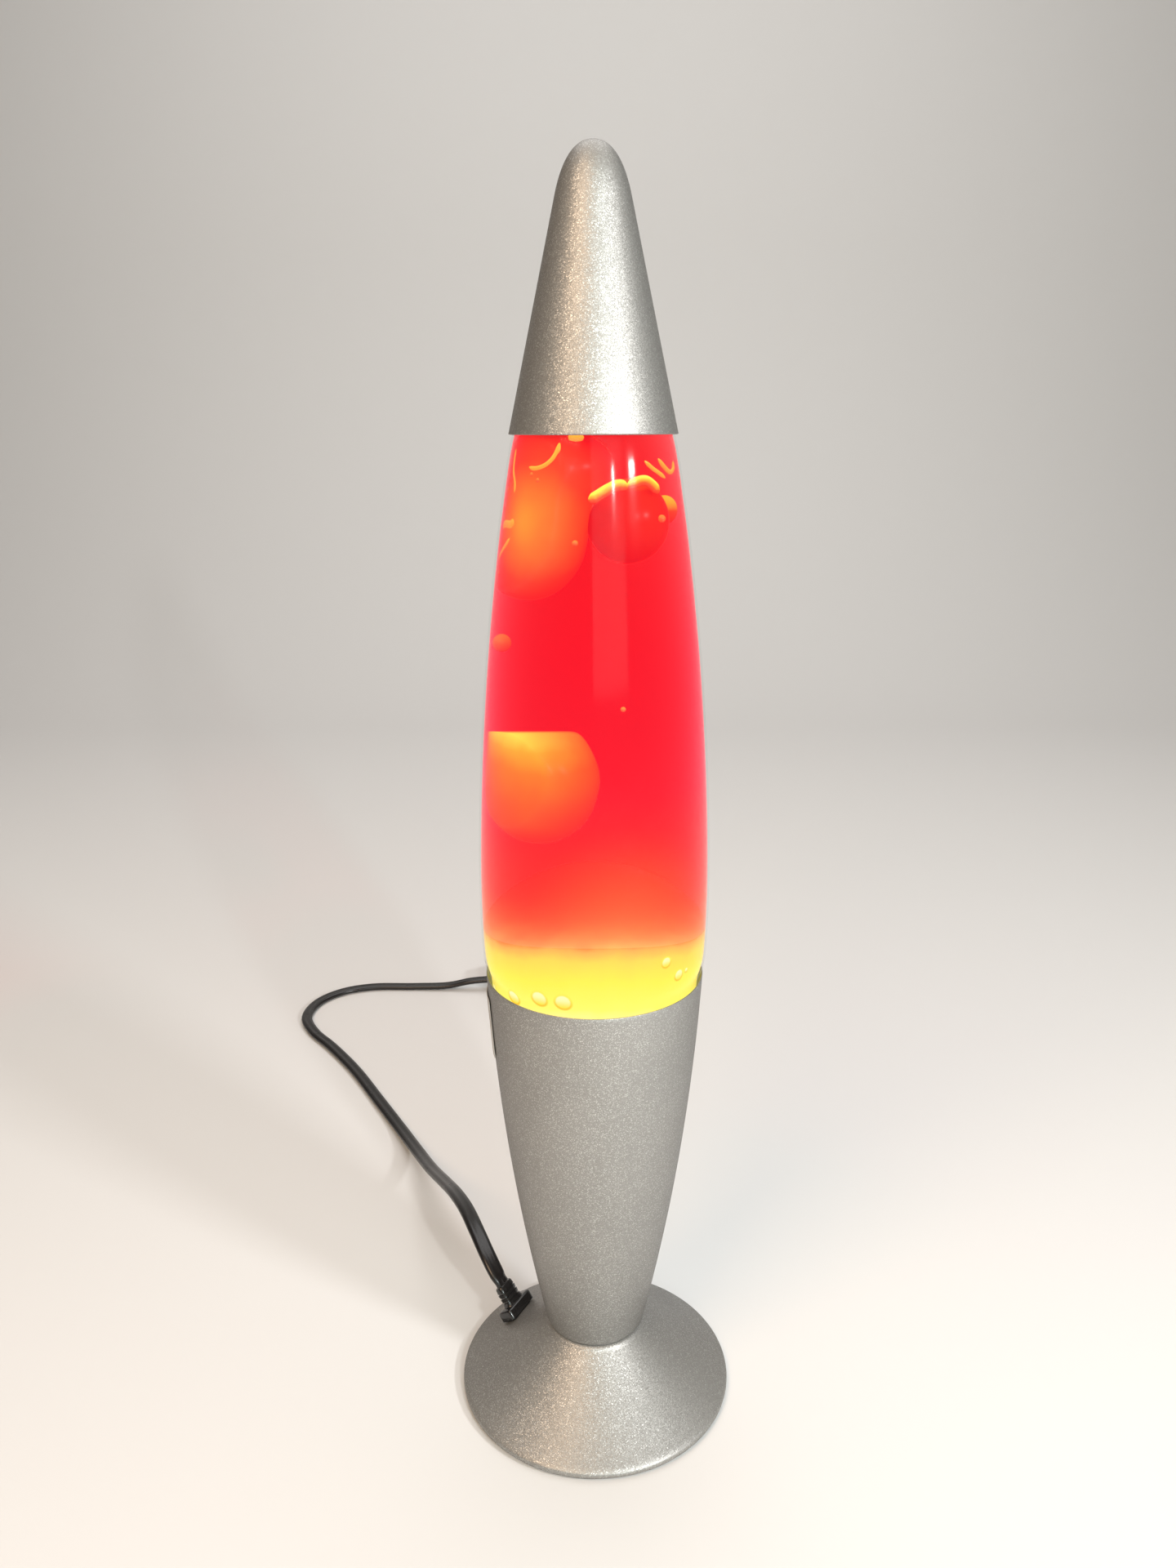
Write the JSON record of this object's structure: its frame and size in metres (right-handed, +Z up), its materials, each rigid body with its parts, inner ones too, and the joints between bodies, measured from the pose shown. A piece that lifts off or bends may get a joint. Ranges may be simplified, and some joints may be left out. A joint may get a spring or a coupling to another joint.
{
  "type": "lava lamp",
  "caption": "Lava lamp with a red-lit glass bottle of orange wax, a silver pointed cap and tapered silver cup on a flared foot, and a black twin lead.",
  "frame": {"origin": "on the lamp's axis at the surface that its rubber feet stand on", "axes": "+Z up along the lamp's axis, -Y towards the viewer, +X to the viewer's right; the lead leaves at the back left"},
  "size_m": [0.2275, 0.379, 0.423],
  "materials": {
    "silver_paint": "satin metallic-flake paint",
    "clear_glass": "clear",
    "liquid_red": "clear dyed liquid",
    "wax_orange": "molten wax",
    "crown_tinplate": "lacquered tinplate",
    "liner_grey": "matt",
    "steel_plain": "zinc plated",
    "brass_plain": "plain",
    "holder_ivory": "moulded",
    "bulb_glass": "frosted",
    "bulb_cap": "plain",
    "black_insulator": "gloss",
    "filament": "hot wire",
    "black_moulding": "gloss",
    "black_cord": "gloss",
    "black_rubber": "matt",
    "label_paper": "matt",
    "lead_black": "satin",
    "lead_white": "satin"
  },
  "bodies": {
    "root": {"base_foot": "silver_paint", "base_cup": "silver_paint", "blank_label": "label_paper", "bottom_plate": "black_moulding", "rubber_foot_front": "black_rubber", "rubber_foot_right": "black_rubber", "rubber_foot_back": "black_rubber", "rubber_foot_left": "black_rubber", "strain_relief": "black_moulding", "lamp_pipe": "steel_plain", "lower_washer": "steel_plain", "lower_nut": "steel_plain", "upper_washer": "steel_plain", "upper_nut": "steel_plain", "holder_body": "holder_ivory", "holder_core": "holder_ivory", "holder_thread_shell": "brass_plain", "holder_contact": "brass_plain", "terminal_screw_live": "brass_plain", "terminal_screw_neutral": "brass_plain", "inner_lead_live": "lead_black", "inner_lead_neutral": "lead_white", "cord": "black_cord", "cord_to_coil": "black_cord", "cord_tail": "black_cord", "cord_coil": "black_cord", "coil_tie": "black_rubber", "switch_lower": "black_moulding", "switch_upper": "black_moulding", "rocker_pin": "steel_plain", "switch_contact_left": "brass_plain", "switch_contact_right": "brass_plain", "plug_body": "black_moulding", "plug_blade_wide": "brass_plain", "plug_blade_narrow": "brass_plain"},
    "cap": {"top_cap": "silver_paint"},
    "bottle": {"glass_bottle": "clear_glass", "crown_liner": "liner_grey", "crown_cap": "crown_tinplate", "wax_pool": "wax_orange", "heat_coil": "steel_plain", "wax_mass_upper": "wax_orange", "wax_ball_upper": "wax_orange", "wax_drop_side": "wax_orange", "liquid": "liquid_red"},
    "rising_wax": {"wax_blob_rising": "wax_orange"},
    "bulb_carrier": {"bulb_contact_tip": "bulb_cap"},
    "bulb": {"bulb_screw_shell": "bulb_cap", "bulb_base_insulator": "black_insulator", "bulb_envelope": "bulb_glass", "bulb_stem": "bulb_glass", "bulb_filament": "filament"},
    "rocker": {"switch_rocker": "black_moulding"}
  },
  "joints": [
    {"name": "bottle_lift", "type": "slide", "parent": "root", "child": "bottle", "axis": [0, 0, 1], "range_m": [0, 0.06]},
    {"name": "cap_lift", "type": "slide", "parent": "bottle", "child": "cap", "axis": [0, 0, 1], "range_m": [0, 0.06]},
    {"name": "wax_rise", "type": "slide", "parent": "bottle", "child": "rising_wax", "axis": [0.0748, 0, 0.9972], "range_m": [0, 0.034]},
    {"name": "bulb_rise", "type": "slide", "parent": "root", "child": "bulb_carrier", "axis": [0, 0, 1], "range_m": [0, 0.0145]},
    {"name": "bulb_turn", "type": "hinge", "parent": "bulb_carrier", "child": "bulb", "pos_m": [0, 0, 0.06], "axis": [0, 0, 1], "range_deg": [0, 1800]},
    {"name": "switch_rock", "type": "hinge", "parent": "root", "child": "rocker", "pos_m": [-0.036, 0.318, 0.0113], "axis": [0, 1, 0], "range_deg": [-16, 0]}
  ],
  "couplings": [
    {"joint": "bulb_rise", "follows": "bulb_turn", "m_per_rad": 0.00044882}
  ]
}
